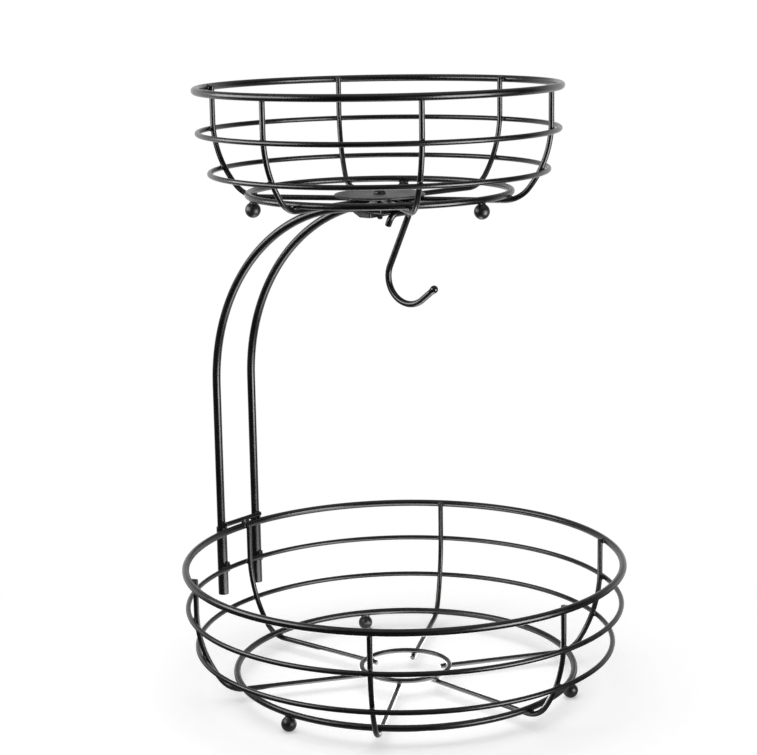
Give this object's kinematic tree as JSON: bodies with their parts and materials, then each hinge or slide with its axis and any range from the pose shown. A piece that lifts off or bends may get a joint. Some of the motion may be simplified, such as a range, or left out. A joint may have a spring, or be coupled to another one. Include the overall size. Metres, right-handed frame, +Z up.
{
  "type": "fruit bowl with banana hanger",
  "caption": "Two-tier round wire fruit bowl: a wide lower bowl, two arched posts and a smaller upper bowl with a hook for bananas under it.",
  "frame": {"origin": "on the floor, under the axis of the lower bowl", "axes": "+Z up; +Y to the back, where the two posts stand; -Y to the front, where the hook opens"},
  "size_m": [0.2992, 0.3056, 0.406],
  "materials": {
    "black_steel": "semi-gloss black powder coat",
    "black_foot": "semi-gloss black powder coat",
    "screw_steel": "black oxide"
  },
  "bodies": {
    "root": {"lower_rim": "black_steel", "lower_upper_hoop": "black_steel", "lower_lower_hoop": "black_steel", "lower_base_ring": "black_steel", "lower_centre_ring": "black_steel", "lower_rib_1": "black_steel", "lower_rib_2": "black_steel", "lower_rib_3": "black_steel", "lower_rib_4": "black_steel", "lower_rib_5": "black_steel", "lower_rib_6": "black_steel", "lower_foot_1": "black_foot", "lower_foot_2": "black_foot", "lower_foot_3": "black_foot", "post_socket_left": "black_steel", "post_socket_right": "black_steel", "post_left": "black_steel", "post_right": "black_steel", "rear_cross_bar": "black_steel", "front_cross_bar": "black_steel", "saddle_plate": "black_steel", "banana_hook": "black_steel", "clamp_screw": "screw_steel", "centre_disc": "black_steel", "upper_rim": "black_steel", "upper_upper_hoop": "black_steel", "upper_lower_hoop": "black_steel", "upper_base_ring": "black_steel", "upper_rib_1": "black_steel", "upper_rib_2": "black_steel", "upper_rib_3": "black_steel", "upper_rib_4": "black_steel", "upper_rib_5": "black_steel", "upper_rib_6": "black_steel", "upper_foot_1": "black_foot", "upper_foot_2": "black_foot", "upper_foot_3": "black_foot"}
  },
  "joints": []
}
